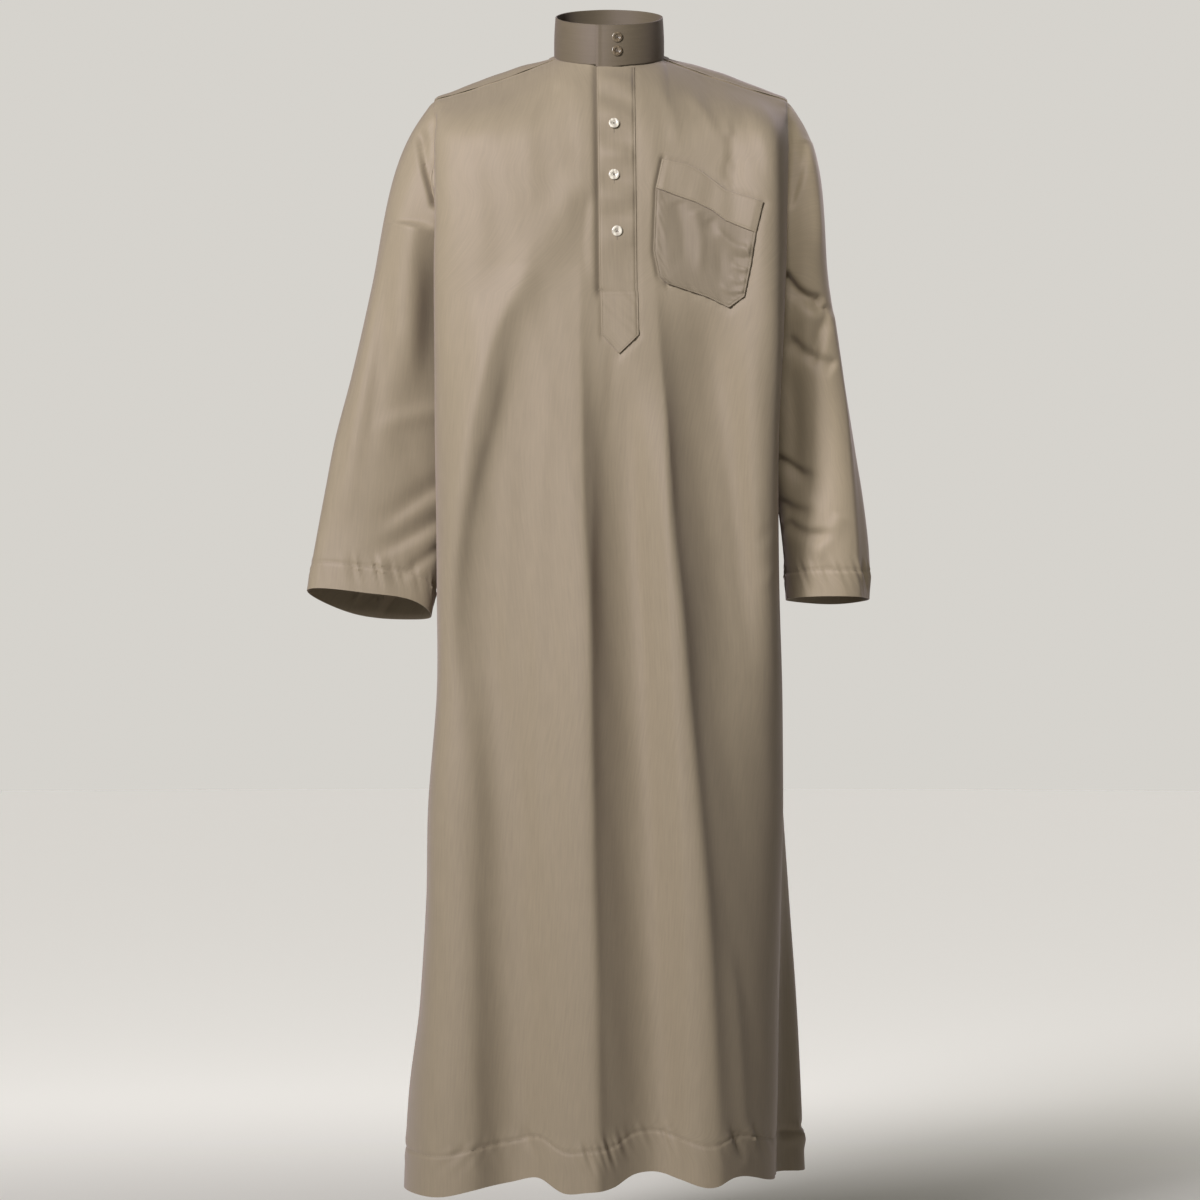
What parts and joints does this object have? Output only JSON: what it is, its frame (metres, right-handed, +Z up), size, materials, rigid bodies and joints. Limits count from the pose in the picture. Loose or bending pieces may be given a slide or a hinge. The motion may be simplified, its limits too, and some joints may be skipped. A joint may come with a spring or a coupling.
{
  "type": "thobe robe",
  "caption": "Ankle-length thobe robe with a buttoned stand collar, pointed chest placket, slanted chest pocket and long straight sleeves, worn shape.",
  "frame": {"origin": "middle of the neck opening at the height of the shoulder seams' inner ends, where the wearer's neck and shoulders hold the garment up", "axes": "+X towards the wearer's left, -Y the front, +Z up"},
  "size_m": [0.7021, 0.3499, 1.4786],
  "materials": {
    "taupe_cloth": "smooth, slightly lustrous plain weave",
    "taupe_trim": "the same cloth, pressed and interlined",
    "pearl_button": "polished, pearly",
    "brown_button": "satin"
  },
  "bodies": {
    "root": {"front_panel": "taupe_cloth", "back_panel": "taupe_cloth", "sleeve_right": "taupe_cloth", "sleeve_left": "taupe_cloth", "collar_band": "taupe_trim", "placket": "taupe_trim", "chest_pocket": "taupe_trim", "chest_pocket_band": "taupe_trim", "button_placket_1": "pearl_button", "button_placket_2": "pearl_button", "button_placket_3": "pearl_button", "button_collar_1": "brown_button", "button_collar_2": "brown_button"}
  },
  "joints": []
}
